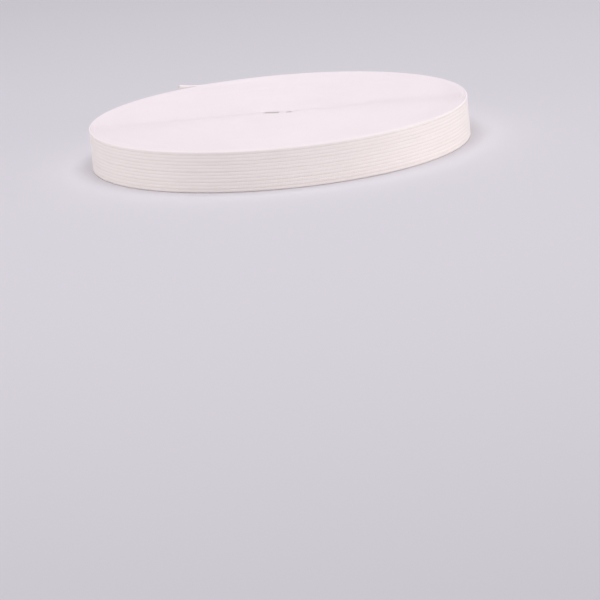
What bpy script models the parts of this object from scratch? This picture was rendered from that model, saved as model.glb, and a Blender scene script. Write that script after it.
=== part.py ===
# A roll of flat ribbed elastic, wound on itself without a core and lying on one face.
# The wound turns are one solid. The cut outer end stands out from it as a short strip.
# Metres, +Z up. The origin is under the middle of the roll, on the surface that it lies on.
import math

import bmesh
import bpy
from mathutils import Matrix, Vector

# Driving dimensions
TAPE_WIDTH = 0.020
TAPE_THICKNESS = 0.0010
ROLL_RADIUS = 0.0940
ROLL_ROUNDNESS = 0.993  # width over depth, because a soft roll is never quite round
FIT_GAP = 0.0003

# Ribs that run along the elastic, raised on its outer face
RIB_COUNT = 12
RIB_DEPTH = 0.00020
SELVEDGE_DROP = 0.00030

# Where the outermost turn leaves the roll, as an angle from +X, counter-clockwise from above
LEAVING_ANGLE = math.radians(110.0)
TURN_SEGMENTS = 96
SPIRAL_CENTRE = Vector((-0.00025, -0.00025, 0.0))

# The loose end
LOOSE_LENGTH = 0.0165
LOOSE_STATIONS = 8
TIP_FLARE = 0.0040
TIP_LIFT = 0.0014
FLARE_POWER = 2.6

# The opening at the middle, which the folded start of the elastic parts into two slits
OPENING_CENTRE = Vector((-0.00065, -0.00385, 0.0))
OPENING_ANGLE = math.radians(-18.0)
# Name, place along the opening, length, width
SLITS = (
    ("start_slit_long", -0.0031, 0.0084, 0.0038),
    ("start_slit_short", 0.0063, 0.0030, 0.0028),
)
SLIT_END_SEGMENTS = 6
CUTTER_OVERRUN = 0.002

# Finish
ELASTIC_COLOUR = (0.80, 0.75, 0.75, 1.0)
ELASTIC_ROUGHNESS = 0.85
SMOOTH_ANGLE = math.radians(25.0)


def clear_scene():
    for obj in list(bpy.data.objects):
        bpy.data.objects.remove(obj, do_unlink=True)


def elastic_material(name):
    material = bpy.data.materials.new(name)
    material.use_nodes = True
    shader = material.node_tree.nodes["Principled BSDF"]
    shader.inputs["Base Color"].default_value = ELASTIC_COLOUR
    shader.inputs["Roughness"].default_value = ELASTIC_ROUGHNESS
    shader.inputs["Metallic"].default_value = 0.0
    return material


def add_object(name, bm, material=None):
    bmesh.ops.recalc_face_normals(bm, faces=bm.faces)
    mesh = bpy.data.meshes.new(name)
    bm.to_mesh(mesh)
    bm.free()
    obj = bpy.data.objects.new(name, mesh)
    bpy.context.scene.collection.objects.link(obj)
    if material:
        mesh.materials.append(material)
        mesh.shade_smooth()
        mesh.set_sharp_from_angle(angle=SMOOTH_ANGLE)
    return obj


def closed_ring(bm, points):
    corners = [bm.verts.new(point) for point in points]
    return [bm.edges.new(pair) for pair in zip(corners, corners[1:] + corners[:1])]


def extrude_ring(bm, ring):
    grown = bmesh.ops.extrude_edge_only(bm, edges=ring)["geom"]
    return [item for item in grown if isinstance(item, bmesh.types.BMEdge) and item.is_boundary]


def ring_corners(ring):
    return list({corner for edge in ring for corner in edge.verts})


def cap_ends(bm):
    bmesh.ops.holes_fill(bm, edges=[edge for edge in bm.edges if edge.is_boundary], sides=0)


def rib_levels():
    # Height and inward set of each line of the ribbed side, from the lower edge to the upper one
    half_rib = TAPE_WIDTH / (2 * RIB_COUNT)
    levels = [(0.0, SELVEDGE_DROP)]
    for line in range(1, 2 * RIB_COUNT):
        on_crest = line % 2 == 1
        levels.append((line * half_rib, 0.0 if on_crest else RIB_DEPTH))
    levels.append((TAPE_WIDTH, SELVEDGE_DROP))
    return levels


def turn_radius(share):
    # The last full turn starts one thickness further in than it ends
    return ROLL_RADIUS - TAPE_THICKNESS * (1.0 - share)


def make_wound_roll(material):
    bm = bmesh.new()
    rim = []
    for step in range(TURN_SEGMENTS + 1):
        share = step / TURN_SEGMENTS
        angle = LEAVING_ANGLE + share * 2.0 * math.pi
        radius = turn_radius(share)
        rim.append((ROLL_ROUNDNESS * radius * math.cos(angle), radius * math.sin(angle), 0.0))
    ring = closed_ring(bm, rim)
    levels = rib_levels()
    inward = 1.0 - levels[0][1] / ROLL_RADIUS
    bmesh.ops.scale(bm, vec=(inward, inward, 1.0), verts=bm.verts)
    for (low, low_set), (high, high_set) in zip(levels, levels[1:]):
        ring = extrude_ring(bm, ring)
        spread = (ROLL_RADIUS - high_set) / (ROLL_RADIUS - low_set)
        bmesh.ops.scale(bm, vec=(spread, spread, 1.0), verts=ring_corners(ring))
        bmesh.ops.translate(bm, vec=(0.0, 0.0, high - low), verts=ring_corners(ring))
    cap_ends(bm)
    bmesh.ops.translate(bm, vec=SPIRAL_CENTRE, verts=bm.verts)
    roll = add_object("wound_roll", bm, material)
    for name, along, length, width in SLITS:
        cut = roll.modifiers.new(name, "BOOLEAN")
        cut.operation = "DIFFERENCE"
        cut.solver = "EXACT"
        cut.object = make_slit_cutter(name, along, length, width)
    return roll


def make_slit_cutter(name, along, length, width):
    bm = bmesh.new()
    outline = []
    for side in (1, -1):
        for step in range(SLIT_END_SEGMENTS + 1):
            angle = side * math.pi / 2 * (2 * step / SLIT_END_SEGMENTS - 1)
            x = along + side * ((length - width) / 2 + width / 2 * math.cos(angle))
            y = width / 2 * math.sin(angle)
            outline.append((x, y, -CUTTER_OVERRUN))
    ring = extrude_ring(bm, closed_ring(bm, outline))
    rise = TAPE_WIDTH + 2 * CUTTER_OVERRUN
    bmesh.ops.translate(bm, vec=(0.0, 0.0, rise), verts=ring_corners(ring))
    cap_ends(bm)
    place = Matrix.Translation(OPENING_CENTRE) @ Matrix.Rotation(OPENING_ANGLE, 4, "Z")
    bmesh.ops.transform(bm, matrix=place, verts=bm.verts)
    cutter = add_object(name, bm)
    cutter.hide_render = True
    cutter.display_type = "WIRE"
    return cutter


def loose_point(share):
    # The inner face of the strip follows the turn below it and then flares away
    angle = LEAVING_ANGLE + (FIT_GAP + share * LOOSE_LENGTH) / ROLL_RADIUS
    away = max(0.0, share) ** FLARE_POWER
    radius = ROLL_RADIUS - TAPE_THICKNESS + FIT_GAP + TIP_FLARE * away
    lift = TIP_LIFT * away
    return SPIRAL_CENTRE + Vector((ROLL_ROUNDNESS * radius * math.cos(angle), radius * math.sin(angle), lift))


def loose_station(share):
    # Local X points out of the roll, local Y along the elastic and local Z up its width
    nudge = 0.01
    along = loose_point(share + nudge) - loose_point(share - nudge)
    along.z = 0.0
    along.normalize()
    out = along.cross(Vector((0.0, 0.0, 1.0)))
    axes = Matrix((out, along, Vector((0.0, 0.0, 1.0)))).transposed().to_4x4()
    return Matrix.Translation(loose_point(share)) @ axes


def make_loose_end(material):
    bm = bmesh.new()
    outer_side = [(TAPE_THICKNESS - inward, 0.0, height) for height, inward in rib_levels()]
    ring = closed_ring(bm, [(0.0, 0.0, 0.0)] + outer_side + [(0.0, 0.0, TAPE_WIDTH)])
    place = loose_station(0.0)
    bmesh.ops.transform(bm, matrix=place, verts=bm.verts)
    for step in range(1, LOOSE_STATIONS + 1):
        ring = extrude_ring(bm, ring)
        following = loose_station(step / LOOSE_STATIONS)
        bmesh.ops.transform(bm, matrix=following @ place.inverted(), verts=ring_corners(ring))
        place = following
    cap_ends(bm)
    return add_object("loose_end", bm, material)


def main():
    clear_scene()
    make_wound_roll(elastic_material("wound elastic"))
    make_loose_end(elastic_material("loose elastic end"))


main()
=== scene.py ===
# Roll of flat ribbed elastic, lying on one face: one long strip wound from its folded start
# at the middle out to its cut end, which stands out a little at the back left.
import math
import bpy
import bmesh
import numpy as np
from mathutils import Matrix, Vector


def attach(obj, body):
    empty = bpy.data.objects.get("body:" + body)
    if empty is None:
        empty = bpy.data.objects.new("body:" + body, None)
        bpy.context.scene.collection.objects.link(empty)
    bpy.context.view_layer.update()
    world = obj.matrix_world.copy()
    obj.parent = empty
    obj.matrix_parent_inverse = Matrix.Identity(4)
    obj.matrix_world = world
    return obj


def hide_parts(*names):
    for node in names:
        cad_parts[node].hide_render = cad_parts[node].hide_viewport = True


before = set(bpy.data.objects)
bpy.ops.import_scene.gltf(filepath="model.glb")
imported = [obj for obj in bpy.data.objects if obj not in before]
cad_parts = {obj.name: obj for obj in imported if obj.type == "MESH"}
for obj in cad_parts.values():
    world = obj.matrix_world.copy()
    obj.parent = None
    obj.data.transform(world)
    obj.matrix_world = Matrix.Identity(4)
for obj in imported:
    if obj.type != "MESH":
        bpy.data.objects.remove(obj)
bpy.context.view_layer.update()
print("frame loaded")

mm = 0.001
fullTurn = 2 * math.pi
mergeWithin = 1e-7  # metres: points this close are one, where the strip's section closes

# The elastic as it comes off the knitting machine
elastic = {
    "width": 20 * mm,
    "ribs": 12,
    "ribDepth": 0.22 * mm,          # crest above groove on the outer face
    "edgeRound": 0.44 * mm,         # how far the strip's edges are rounded over
    "edgeShoulder": 0.25,           # share of the thickness over which they round
    "edgeFlat": 0.06 * mm,          # how far their middle lies within the full width
    "pointsPerRib": 6,
    "grooveRise": 0.94,             # how far a rib has risen one point away from its groove
    "grooveUneven": 0.35,           # how much deeper or shallower one groove is than the next
    "grooveBeat": 2.4,              # how that varies from groove to groove, in radians
    "chainPitch": 1.15 * mm,        # one chain stitch along a groove, drawn coarse so that it shows
    "weftPitch": 0.62 * mm,         # one yarn laid across the ribs, drawn coarse for the same reason
}

# How it is wound: the turns are round at the rim and flattened at the middle
winding = {
    "radius": 94 * mm,
    "roundness": 0.993,             # a soft roll is never quite round: its width over its depth
    "centre": (-0.25 * mm, -0.25 * mm),
    "startGap": 2.5 * mm,           # about half of the opening at the middle, across it
    "startStretch": 5.2 * mm,       # how far the first turn is drawn out at each end
    "bluntness": 1.5,               # how blunt the ends of the flattened turns are
    "stretchPower": 1.6,            # how soon the turns outside it grow round
    "stretchAngle": math.radians(-18),
    "middle": (-0.4 * mm, -3.6 * mm),  # where the opening lies in the roll
    "startAngle": math.radians(122),
    "leavingAngle": math.radians(110),  # where the loose end leaves the roll
    "fullTurns": 89,
    "airGap": 0.012,                # share of a turn's thickness left free on each side
}

# One turn's thickness, such that the loose end leaves at the roll's radius
turnPitch = (winding["radius"] - winding["startGap"]) / (
    winding["fullTurns"] + 1 + (winding["leavingAngle"] - winding["startAngle"]) / fullTurn
)
leavingTurn = winding["leavingAngle"] + winding["fullTurns"] * fullTurn


def toLinear(hexColour):
    # sRGB hex to the linear values that Blender's sockets take
    channels = [int(hexColour[i:i + 2], 16) / 255 for i in (1, 3, 5)]
    return tuple(c / 12.92 if c <= 0.04045 else ((c + 0.055) / 1.055) ** 2.4 for c in channels) + (1.0,)


def woundPlace(angle, depth):
    # depth is 0 on a turn's inner face and 1 on its outer face
    rho = winding["startGap"] + turnPitch * ((angle - winding["startAngle"]) / fullTurn + depth)
    ease = np.clip(1 - rho / winding["radius"], 0, None)
    long = winding["stretchAngle"]
    blunt = winding["bluntness"]
    toEnd = np.tanh(blunt * np.cos(angle - long)) / math.tanh(blunt)
    stretch = winding["startStretch"] * ease ** winding["stretchPower"] * toEnd
    across = rho * (winding["roundness"] * (1 - ease) + ease)
    middleX, middleY = (c + m * ease for c, m in zip(winding["centre"], winding["middle"]))
    x = middleX + across * np.cos(angle) + stretch * math.cos(long)
    y = middleY + rho * np.sin(angle) + stretch * math.sin(long)
    return np.column_stack((x, y))


# The inner turns, seen only by their edges
turns = {
    "segments": 116,
    "startSegments": 110,
    "joinEase": 5,                  # how late the folded start eases into the first turn
    "joinReach": 0.25,              # radians of the first turn that give its direction there
    "edgeDrop": 0.05 * mm,          # the upper edges lie this far within the width
    "startSink": 0.25 * mm,         # the folded start lies lower than the turns around it
    "startLift": 0.5,               # share of that by which its lower edge is raised
    "middleSink": 0.2 * mm,         # and so, less and less, do the first turns
    "farSink": 0.6,                 # how much more so on the far side of the slit
    "sinkTurns": 1.8,               # over how many turns this fades
    "heightWander": 0.025 * mm,     # how far one turn's edge stands above the next
    "slowWander": 0.03 * mm,        # and how far over many turns
    "slowWaves": 2,                 # slow waves in one turn
    "slowShift": 0.013,             # how they drift from turn to turn
    "slowSwell": 9.7,               # radians of winding over which they swell and fade
    "lowerWander": 0.6,             # share of it that shows at the lower edge
    "rimTurns": 14,                 # the outer turns lie looser and stand less evenly
    "rimWander": 3.0,               # how many times more at the rim
    "knotsPerTurn": 3,              # random heights in one turn
    "spareKnots": 4,                # more of them before the first turn and after the last
    "seed": 20,
}


def smoothNoise(position, seed, count):
    # Random heights at whole positions, joined smoothly
    knots = np.random.default_rng(seed).uniform(-1, 1, count + turns["spareKnots"])
    low = np.clip(np.floor(position).astype(int), 0, count)
    share = position - low
    share = share * share * (3 - 2 * share)
    return knots[low] * (1 - share) + knots[low + 1] * share


def edgeWander(angle):
    # How high a turn's edge stands here: a quick part turn by turn and a slow part over many turns
    spare = turns["spareKnots"]
    position = (angle - winding["startAngle"]) / fullTurn * turns["knotsPerTurn"]
    count = int((winding["fullTurns"] + 3) * turns["knotsPerTurn"])
    quick = smoothNoise(position + spare, turns["seed"], count + 2 * spare)
    swell = np.sin(angle / turns["slowSwell"])
    slow = np.sin(angle * turns["slowWaves"] + turns["slowShift"] * angle) * swell
    looser = np.clip(1 + (angle - leavingTurn) / fullTurn / turns["rimTurns"], 0, 1)
    quick = quick * (1 + turns["rimWander"] * looser)
    return quick * turns["heightWander"] + slow * turns["slowWander"]


def woundLane(angles):
    # Where the strip's inner and outer faces run, and how far its edges stand off their level
    wander = edgeWander(angles)
    uneven = 1 + turns["farSink"] * np.sin(angles)
    turnsOut = (angles - winding["startAngle"]) / fullTurn
    sink = turns["middleSink"] * uneven * np.exp(-turnsOut / turns["sinkTurns"])
    return {
        "inner": woundPlace(angles, 0.0),
        "outer": woundPlace(angles, 1.0),
        "topLift": wander - turns["edgeDrop"] - sink,
        "bottomLift": np.abs(wander) * turns["lowerWander"],
    }


def smoothRoute(points, count):
    # A smooth curve through the points, with its first and last used only for direction
    points = np.array(points)
    almost = len(points) - 2 - 1e-9  # just short of the last stretch's end, to stay on that stretch
    place = np.linspace(1, almost, count)
    low = place.astype(int)
    share = (place - low)[:, None]
    before, here, following, after = (points[low + k] for k in (-1, 0, 1, 2))
    bend = 2 * before - 5 * here + 4 * following - after
    swing = 3 * here - 3 * following + after - before
    return here + 0.5 * share * ((following - before) + share * (bend + share * swing))


# The start, in mm from the middle of the opening: laid to and fro in four layers between the two
# slits, the last of which runs on along the far side of the long one and into the first turn.
startRoute = (
    (1.7, -2.15), (4.3, -2.08), (4.95, -1.42), (4.3, -0.76), (2.2, -0.70), (1.55, -0.03), (2.2, 0.64),
    (4.4, 0.70), (5.1, 1.41), (4.4, 2.12), (1.6, 2.34), (-1.8, 2.38), (-4.4, 2.16),
)


def startLane():
    # The folded start as a lane that runs into the first turn
    long = winding["stretchAngle"]
    turned = np.array([[math.cos(long), math.sin(long)], [-math.sin(long), math.cos(long)]])
    origin = np.array(winding["centre"]) + np.array(winding["middle"])
    route = np.array(startRoute) * mm @ turned + origin
    joining = woundPlace(winding["startAngle"] + np.array([0.0, turns["joinReach"]]), 0.5)
    back = 2 * route[0] - route[1]
    centre = smoothRoute(np.vstack((back, route, joining)), turns["startSegments"])
    along = np.gradient(centre, axis=0)
    along /= np.linalg.norm(along, axis=1)[:, None]
    out = np.column_stack((along[:, 1], -along[:, 0])) * turnPitch / 2
    # The lane eases into the first turn's own faces, so that the two join without a crease
    first = woundPlace(np.array([winding["startAngle"]]), np.array([0.0, 1.0]))
    blend = np.linspace(0, 1, turns["startSegments"])[:, None] ** turns["joinEase"]
    centre = centre + (first.mean(axis=0) - centre[-1]) * blend
    out = out * (1 - blend) + (first[1] - first[0]) / 2 * blend
    joinSink = turns["middleSink"] * (1 + turns["farSink"] * math.sin(winding["startAngle"]))
    sink = turns["startSink"] * (1 - blend[:, 0]) + joinSink * blend[:, 0]
    return {
        "inner": centre - out,
        "outer": centre + out,
        "topLift": -sink,
        "bottomLift": sink * turns["startLift"],
    }


def joinLanes(first, second):
    return {key: np.concatenate((first[key][:-1], second[key])) for key in first}


def flatStrip(alongCount, aroundCount):
    # A flat grid, with each point's step along the strip and step around its section
    bm = bmesh.new()
    bmesh.ops.create_grid(bm, x_segments=alongCount, y_segments=aroundCount, size=0.5)
    mesh = bpy.data.meshes.new("strip")
    bm.to_mesh(mesh)
    bm.free()
    flat = np.empty(len(mesh.vertices) * 3)
    mesh.vertices.foreach_get("co", flat)
    flat = flat.reshape(-1, 3)
    along = np.rint((flat[:, 0] + 0.5) * alongCount).astype(int)
    around = np.rint((flat[:, 1] + 0.5) * aroundCount).astype(int)
    return mesh, along, around


# What shows where the strip is cut off
cut = {
    "rubberRadius": 0.22 * mm,
    "rubberOut": 0.4 * mm,
    "rubberShortest": 0.4,          # share of that which the shortest reaches
    "yarnRadius": 0.05 * mm,
    "yarnOut": 1.1 * mm,
    "yarnShortest": 0.2,
    "yarnSpread": 0.9,              # how far the yarn ends lean apart
    "yarnAside": 0.4,               # share of the strip's thickness over which they are spread
    "yarnRise": 0.7 * mm,           # and how far up and down from the middle of their rib
    "yarnsPerRib": 5,
    "sides": 7,
    "taper": 0.7,                   # a thread's tip over its root
    "buried": 0.5 * mm,             # how far inside the strip each thread starts
    "seed": 5,
}


def addThread(bm, root, direction, radius, length, slot):
    # A tapered thread end
    turn = direction.to_track_quat("Z", "Y").to_matrix().to_4x4()
    place = Matrix.Translation(root + direction * length / 2) @ turn
    made = bmesh.ops.create_cone(
        bm,
        cap_ends=True,
        segments=cut["sides"],
        radius1=radius,
        radius2=cut["taper"] * radius,
        depth=length,
        matrix=place,
    )
    for face in {face for corner in made["verts"] for face in corner.link_faces}:
        face.material_index = slot


def cutThreads(lane, last, following):
    # A cut across the strip shows the rubber threads inside its ribs and a short fringe of yarn ends
    middle = (lane["inner"] + lane["outer"]) / 2
    away = Vector((*(middle[last] - middle[following]), 0.0)).normalized()
    through = Vector((*(lane["outer"][last] - lane["inner"][last]), 0.0))
    low = lane["bottomLift"][last]
    high = elastic["width"] + lane["topLift"][last]
    chance = np.random.default_rng(cut["seed"])
    bm = bmesh.new()
    for rib in range(elastic["ribs"]):
        height = low + (high - low) * (rib + 0.5) / elastic["ribs"]
        root = Vector((*middle[last], height)) - away * cut["buried"]
        rubberLength = cut["buried"] + cut["rubberOut"] * chance.uniform(cut["rubberShortest"], 1.0)
        addThread(bm, root, away, cut["rubberRadius"], rubberLength, 1)
        for yarn in range(cut["yarnsPerRib"]):
            spread = Vector(chance.uniform(-0.5, 0.5, 3)) * cut["yarnSpread"]
            aside = through * chance.uniform(-cut["yarnAside"], cut["yarnAside"])
            rise = Vector((0, 0, chance.uniform(-cut["yarnRise"], cut["yarnRise"])))
            yarnLength = cut["buried"] + cut["yarnOut"] * chance.uniform(cut["yarnShortest"], 1.0)
            leaning = (away + spread).normalized()
            addThread(bm, root + aside + rise, leaning, cut["yarnRadius"], yarnLength, 0)
    threads = bpy.data.meshes.new("cut_threads")
    bm.to_mesh(threads)
    bm.free()
    return threads


def wrapStrip(name, lane, section, materials, cutEnd):
    # Folds a flat grid around the strip's section, then lays it along its lane
    loop = np.array(section)
    mesh, along, around = flatStrip(len(lane["inner"]) - 1, len(loop) - 1)
    depth, height, across = loop[around].T
    plan = lane["inner"][along] * (1 - depth[:, None]) + lane["outer"][along] * depth[:, None]
    share = height / elastic["width"]
    lift = lane["bottomLift"][along] * (1 - share) + lane["topLift"][along] * share
    points = np.column_stack((plan, height + lift))
    mesh.vertices.foreach_set("co", points.ravel())
    walk = (lane["inner"] + lane["outer"]) / 2
    lengths = np.concatenate(([0], np.cumsum(np.hypot(*np.diff(walk, axis=0).T))))
    uv = mesh.uv_layers.new(name="alongElastic")
    corner = np.empty(len(mesh.loops), dtype=int)
    mesh.loops.foreach_get("vertex_index", corner)
    values = np.column_stack((lengths[along], across))[corner]
    uv.data.foreach_set("uv", values.ravel())
    bm = bmesh.new()
    bm.from_mesh(mesh)
    bmesh.ops.remove_doubles(bm, verts=bm.verts, dist=mergeWithin)
    bmesh.ops.holes_fill(bm, edges=[edge for edge in bm.edges if edge.is_boundary], sides=0)
    bmesh.ops.recalc_face_normals(bm, faces=bm.faces)
    threads = cutThreads(lane, *cutEnd)
    bm.from_mesh(threads)
    bpy.data.meshes.remove(threads)
    bm.to_mesh(mesh)
    bm.free()
    mesh.name = name
    for material in materials:
        mesh.materials.append(material)
    mesh.shade_smooth()
    piece = bpy.data.objects.new(name, mesh)
    bpy.context.scene.collection.objects.link(piece)
    return piece, lengths[-1]


def lowerEdge():
    # The lower edge's points as depth and height, from the inner face to the outer one
    gap = winding["airGap"]
    drop = elastic["edgeRound"]
    flat = elastic["edgeFlat"]
    shoulder = elastic["edgeShoulder"]
    return [(gap, drop), (shoulder, flat), (1 - shoulder, flat), (1 - gap, drop)]


def stripSection(outerFace):
    # The section's points as depth, height and distance around it, starting and ending at the
    # lower corner of the inner face
    width = elastic["width"]
    points = [(depth, height, (depth - 1) * turnPitch) for depth, height in lowerEdge()]
    points += [(depth, height, height) for depth, height in outerFace]
    upperEdge = reversed(lowerEdge())
    points += [(depth, width - height, width + (1 - depth) * turnPitch) for depth, height in upperEdge]
    points.append(points[0][:2] + (2 * width + turnPitch,))
    return points


def ribbedFace():
    # Flat ribs on the outer face, with narrow grooves of uneven depth between them
    perRib = elastic["pointsPerRib"]
    skipped = perRib // 2
    ribPitch = elastic["width"] / elastic["ribs"]
    top = 1 - winding["airGap"]
    points = []
    for line in range(skipped, elastic["ribs"] * perRib - skipped + 1):
        fromGroove = abs((line / perRib + 0.5) % 1 - 0.5)  # to the nearest one, in ribs
        rise = min(1.0, elastic["grooveRise"] * fromGroove * perRib)
        beat = elastic["grooveBeat"] * round(line / perRib)
        unevenDepth = 1 + elastic["grooveUneven"] * math.sin(beat)
        inward = elastic["ribDepth"] * unevenDepth * (1 - rise) / turnPitch
        points.append((top - inward, line * ribPitch / perRib))
    return points


# The outermost turn, whose ribbed face shows, and the loose end
outer = {
    "segments": 900,
    "hiddenLap": math.radians(8),   # it starts this much before the step, and the inner turns end there
    "looseLength": 16.5 * mm,
    "tipFlare": 4.0 * mm,
    "tipLift": 1.4 * mm,
    "flarePower": 2.6,
}


def makeWoundTurns(materials):
    end = leavingTurn - fullTurn - outer["hiddenLap"]
    count = int(turns["segments"] * (end - winding["startAngle"]) / fullTurn)
    angles = np.linspace(winding["startAngle"], end, count + 1)
    lane = joinLanes(startLane(), woundLane(angles))
    return wrapStrip("wound_turns", lane, stripSection([]), materials, (0, 1))


def makeOuterTurn(materials):
    start = leavingTurn - fullTurn - outer["hiddenLap"]
    end = leavingTurn + outer["looseLength"] / winding["radius"]
    angles = np.linspace(start, end, outer["segments"] + 1)
    lane = woundLane(angles)
    share = np.clip((angles - leavingTurn) / (end - leavingTurn), 0, 1)
    flare = share ** outer["flarePower"]
    away = np.column_stack((np.cos(angles), np.sin(angles))) * (outer["tipFlare"] * flare)[:, None]
    lift = outer["tipLift"] * flare
    for face in ("inner", "outer"):
        lane[face] = lane[face] + away
    for edge in ("topLift", "bottomLift"):
        lane[edge] = lane[edge] + lift
    return wrapStrip("outer_turn", lane, stripSection(ribbedFace()), materials, (-1, -2))


def addNode(tree, kind, settings=None, links=None):
    # One node with its settings, and its inputs linked or set
    node = tree.nodes.new(kind)
    for key, value in (settings or {}).items():
        setattr(node, key, value)
    for key, value in (links or {}).items():
        if isinstance(value, bpy.types.NodeSocket):
            tree.links.new(value, node.inputs[key])
        else:
            node.inputs[key].default_value = value
    return node


def waveAlong(tree, distance, pitch, shift):
    # A wave that repeats once each pitch of the distance
    repeats = addNode(
        tree,
        "ShaderNodeMath",
        {"operation": "MULTIPLY_ADD"},
        {0: distance, 1: 1 / pitch, 2: shift},
    )
    phase = addNode(
        tree,
        "ShaderNodeMath",
        {"operation": "MULTIPLY"},
        {0: repeats.outputs[0], 1: fullTurn},
    )
    return addNode(tree, "ShaderNodeMath", {"operation": "SINE"}, {0: phase.outputs[0]})


def driftingTint(tree, place, size, tints):
    # A colour that drifts between two tints in patches of this size
    cloud = addNode(
        tree,
        "ShaderNodeTexNoise",
        None,
        {"Vector": place.outputs["Object"], "Scale": 1 / size, "Detail": 2.0},
    )
    tint = addNode(tree, "ShaderNodeMix", {"data_type": "RGBA"}, {0: cloud.outputs[0]})
    tint.inputs[6].default_value = toLinear(tints[0])
    tint.inputs[7].default_value = toLinear(tints[1])
    return tint


knitFinish = {
    "tints": ("#F1E9E7", "#F4EDEB"),  # warm white, drifting slowly over the roll
    "tintDrift": 22 * mm,
    # Painted shade: the grooves between the ribs are darkened towards this greyer colour in the base
    # colour
    "paintedGrooveShadeColour": "#C9BBBB",
    "grooveShade": 0.16,            # how much of that painted shade colour the grooves take
    "shadeFrom": 0.36,              # where that starts, in ribs from a rib's middle
    "chainFrom": 0.30,              # where the chain stitches start to show beside the weft
    "chainFull": 0.42,              # and from where they show alone
    "roughness": 0.82,
    "sheen": 0.2,
    "sheenRoughness": 0.45,
    "specular": 0.3,
    "weftLean": 0.7,                # how much a weft yarn slants across a rib, in stitches
    "stitchShare": 0.45,            # stitches against single fibres in the relief
    "fibre": 0.35 * mm,             # drawn coarser than a real fibre, so that it shows
    "fibreRoughness": 0.6,
    "relief": 0.09 * mm,
    "reliefStrength": 0.5,
}


def knittedElastic():
    # Knitted polyester over covered rubber: matt white yarn with a soft sheen, and painted shade in the
    # grooves between the ribs
    material = bpy.data.materials.new("knitted polyester elastic")
    material.use_nodes = True
    tree = material.node_tree
    shader = tree.nodes["Principled BSDF"]
    shader.inputs["Roughness"].default_value = knitFinish["roughness"]
    shader.inputs["Sheen Weight"].default_value = knitFinish["sheen"]
    shader.inputs["Sheen Roughness"].default_value = knitFinish["sheenRoughness"]
    shader.inputs["Specular IOR Level"].default_value = knitFinish["specular"]
    uv = addNode(tree, "ShaderNodeUVMap", {"uv_map": "alongElastic"})
    split = addNode(tree, "ShaderNodeSeparateXYZ", None, {0: uv.outputs[0]})
    ribPitch = elastic["width"] / elastic["ribs"]
    # How far across its rib each point lies, and whether it is on the strip's upper edge
    ribAt = addNode(
        tree,
        "ShaderNodeMath",
        {"operation": "MULTIPLY"},
        {0: split.outputs[1], 1: 1 / ribPitch},
    )
    ribShare = addNode(tree, "ShaderNodeMath", {"operation": "FRACT"}, {0: ribAt.outputs[0]})
    offset = addNode(
        tree,
        "ShaderNodeMath",
        {"operation": "SUBTRACT"},
        {0: ribShare.outputs[0], 1: 0.5},
    )
    fromMiddle = addNode(tree, "ShaderNodeMath", {"operation": "ABSOLUTE"}, {0: offset.outputs[0]})
    upperEdge = addNode(
        tree,
        "ShaderNodeMath",
        {"operation": "COMPARE"},
        {0: split.outputs[1], 1: elastic["width"] + turnPitch / 2, 2: turnPitch / 2},
    )
    # The weft yarns slant across the ribs and run straight over the upper edge
    lean = addNode(
        tree,
        "ShaderNodeMapRange",
        None,
        {"Value": upperEdge.outputs[0], "To Min": knitFinish["weftLean"], "To Max": 0.0},
    )
    slant = addNode(
        tree,
        "ShaderNodeMath",
        {"operation": "MULTIPLY"},
        {0: fromMiddle.outputs[0], 1: lean.outputs[0]},
    )
    weft = waveAlong(tree, split.outputs[0], elastic["weftPitch"], slant.outputs[0])
    chain = waveAlong(tree, split.outputs[0], elastic["chainPitch"], 0.0)
    inGroove = addNode(
        tree,
        "ShaderNodeMapRange",
        None,
        {
            "Value": fromMiddle.outputs[0],
            "From Min": knitFinish["chainFrom"],
            "From Max": knitFinish["chainFull"],
        },
    )
    stitch = addNode(
        tree,
        "ShaderNodeMix",
        {"data_type": "FLOAT"},
        {0: inGroove.outputs[0], 2: weft.outputs[0], 3: chain.outputs[0]},
    )
    place = addNode(tree, "ShaderNodeTexCoord")
    fibre = addNode(
        tree,
        "ShaderNodeTexNoise",
        None,
        {
            "Vector": place.outputs["Object"],
            "Scale": 1 / knitFinish["fibre"],
            "Detail": 3.0,
            "Roughness": knitFinish["fibreRoughness"],
        },
    )
    relief = addNode(
        tree,
        "ShaderNodeMath",
        {"operation": "MULTIPLY_ADD"},
        {0: stitch.outputs[0], 1: knitFinish["stitchShare"], 2: fibre.outputs[0]},
    )
    bump = addNode(
        tree,
        "ShaderNodeBump",
        None,
        {
            "Height": relief.outputs[0],
            "Strength": knitFinish["reliefStrength"],
            "Distance": knitFinish["relief"],
        },
    )
    tree.links.new(bump.outputs[0], shader.inputs["Normal"])
    tint = driftingTint(tree, place, knitFinish["tintDrift"], knitFinish["tints"])
    # Painted shade: the base colour is darkened towards the greyer groove colour near the grooves
    # between the ribs
    groove = addNode(
        tree,
        "ShaderNodeMapRange",
        None,
        {
            "Value": fromMiddle.outputs[0],
            "From Min": knitFinish["shadeFrom"],
            "From Max": 0.5,
            "To Max": knitFinish["grooveShade"],
        },
    )
    shaded = addNode(
        tree,
        "ShaderNodeMix",
        {"data_type": "RGBA"},
        {0: groove.outputs[0], 6: tint.outputs[2]},
    )
    shaded.inputs[7].default_value = toLinear(knitFinish["paintedGrooveShadeColour"])
    tree.links.new(shaded.outputs[2], shader.inputs["Base Color"])
    return material


latexFinish = {
    "tints": ("#E6DDCB", "#F0E9DA"),  # cream, mottled in patches of the size below
    "mottle": 0.3 * mm,
    "roughness": 0.42,
}


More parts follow.
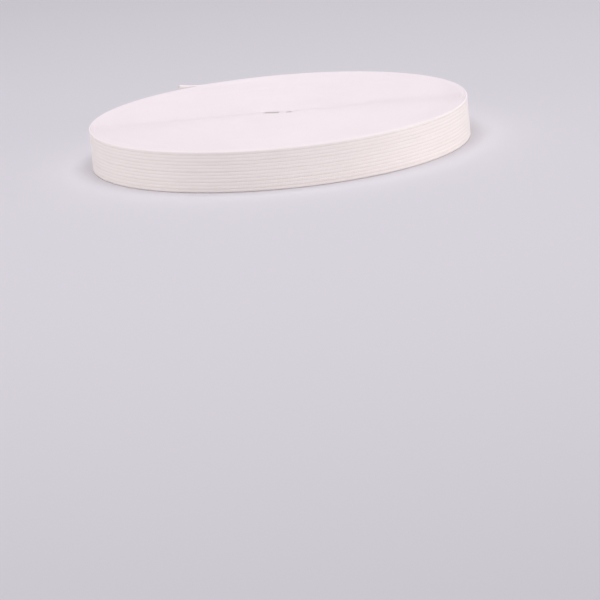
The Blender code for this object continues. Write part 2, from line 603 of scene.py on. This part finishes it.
def latexThread():
    # Cut latex rubber: cream, smooth and a little shiny beside the yarn
    material = bpy.data.materials.new("cut latex thread")
    material.use_nodes = True
    tree = material.node_tree
    shader = tree.nodes["Principled BSDF"]
    shader.inputs["Roughness"].default_value = latexFinish["roughness"]
    place = addNode(tree, "ShaderNodeTexCoord")
    tint = driftingTint(tree, place, latexFinish["mottle"], latexFinish["tints"])
    tree.links.new(tint.outputs[2], shader.inputs["Base Color"])
    return material


# The sheet that the roll lies on: half its side in metres, and its finish
floorPaper = {"reach": 3.0, "colour": "#D3D1D2", "roughness": 0.9}


def makeFloor():
    bm = bmesh.new()
    bmesh.ops.create_grid(bm, x_segments=1, y_segments=1, size=floorPaper["reach"])
    mesh = bpy.data.meshes.new("floor")
    bm.to_mesh(mesh)
    bm.free()
    paper = bpy.data.materials.new("matt paper sweep")
    paper.use_nodes = True
    shader = paper.node_tree.nodes["Principled BSDF"]
    shader.inputs["Base Color"].default_value = toLinear(floorPaper["colour"])
    shader.inputs["Roughness"].default_value = floorPaper["roughness"]
    mesh.materials.append(paper)
    floor = bpy.data.objects.new("floor", mesh)
    bpy.context.scene.collection.objects.link(floor)


# The photograph's view, from a little above and slightly turned about its own axis
view = {
    "aside": -0.65 * mm,
    "distanceInFront": 2.162,
    "height": 0.4366,
    "pitch": math.radians(13.342),
    "yaw": math.radians(0.072),
    "roll": math.radians(-5.381),
    "focalLength": 270.0,           # in mm, as the sensor's width is
    "sensorWidth": 36.0,
    "farthest": 20.0,
}


def makeCamera():
    data = bpy.data.cameras.new("camera")
    data.lens = view["focalLength"]
    data.sensor_width = view["sensorWidth"]
    data.clip_end = view["farthest"]
    camera = bpy.data.objects.new("camera", data)
    bpy.context.scene.collection.objects.link(camera)
    ahead = Vector((
        math.sin(view["yaw"]) * math.cos(view["pitch"]),
        math.cos(view["yaw"]) * math.cos(view["pitch"]),
        -math.sin(view["pitch"]),
    ))
    level = Vector((math.cos(view["yaw"]), -math.sin(view["yaw"]), 0.0))
    rotation = Matrix((level, level.cross(ahead), -ahead)).transposed().to_4x4()
    rotation = rotation @ Matrix.Rotation(view["roll"], 4, "Z")
    place = Matrix.Translation((view["aside"], -view["distanceInFront"], view["height"]))
    camera.matrix_world = place @ rotation
    bpy.context.scene.camera = camera


# Soft boxes: name, place, width and height in metres, watts, colour
softBoxes = (
    ("overhead", (0.0, -0.1, 1.45), (1.6, 1.6), 25.5, "#F7F4FF"),
    ("front", (-0.1, -2.7, 0.12), (3.0, 0.2), 3.0, "#FFFBF6"),
    ("right", (2.0, -0.8, 0.07), (0.8, 0.1), 22.0, "#FFFBF6"),
    ("left", (-2.0, -0.8, 0.07), (0.8, 0.1), 14.5, "#FFFBF6"),
)
lightsAimAt = Vector((0.0, 0.0, 0.01))

# What the room around throws back
room = {"colour": "#F4F2F3", "strength": 0.24}


def makeLights():
    for name, place, size, watts, colour in softBoxes:
        data = bpy.data.lights.new(name, "AREA")
        data.shape = "RECTANGLE"
        data.size, data.size_y = size
        data.energy = watts
        data.color = toLinear(colour)[:3]
        lamp = bpy.data.objects.new(name, data)
        aim = (lightsAimAt - Vector(place)).to_track_quat("-Z", "Y")
        lamp.matrix_world = Matrix.Translation(place) @ aim.to_matrix().to_4x4()
        bpy.context.scene.collection.objects.link(lamp)
    world = bpy.data.worlds.new("studio")
    world.use_nodes = True
    background = world.node_tree.nodes["Background"]
    background.inputs["Color"].default_value = toLinear(room["colour"])
    background.inputs["Strength"].default_value = room["strength"]
    bpy.context.scene.world = world
    bpy.context.scene.view_settings.view_transform = "Standard"


makeCamera()
makeLights()
makeFloor()
print("studio made")

materials = (knittedElastic(), latexThread())
woundTurns, woundLength = makeWoundTurns(materials)
print("inner turns wound", round(woundLength, 3), "m")
outerTurn, outerLength = makeOuterTurn(materials)
print("outer turn wound", round(outerLength, 3), "m")

for piece in (woundTurns, outerTurn):
    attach(piece, "root")
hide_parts("wound_roll")
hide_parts("wound_roll", "loose_end")
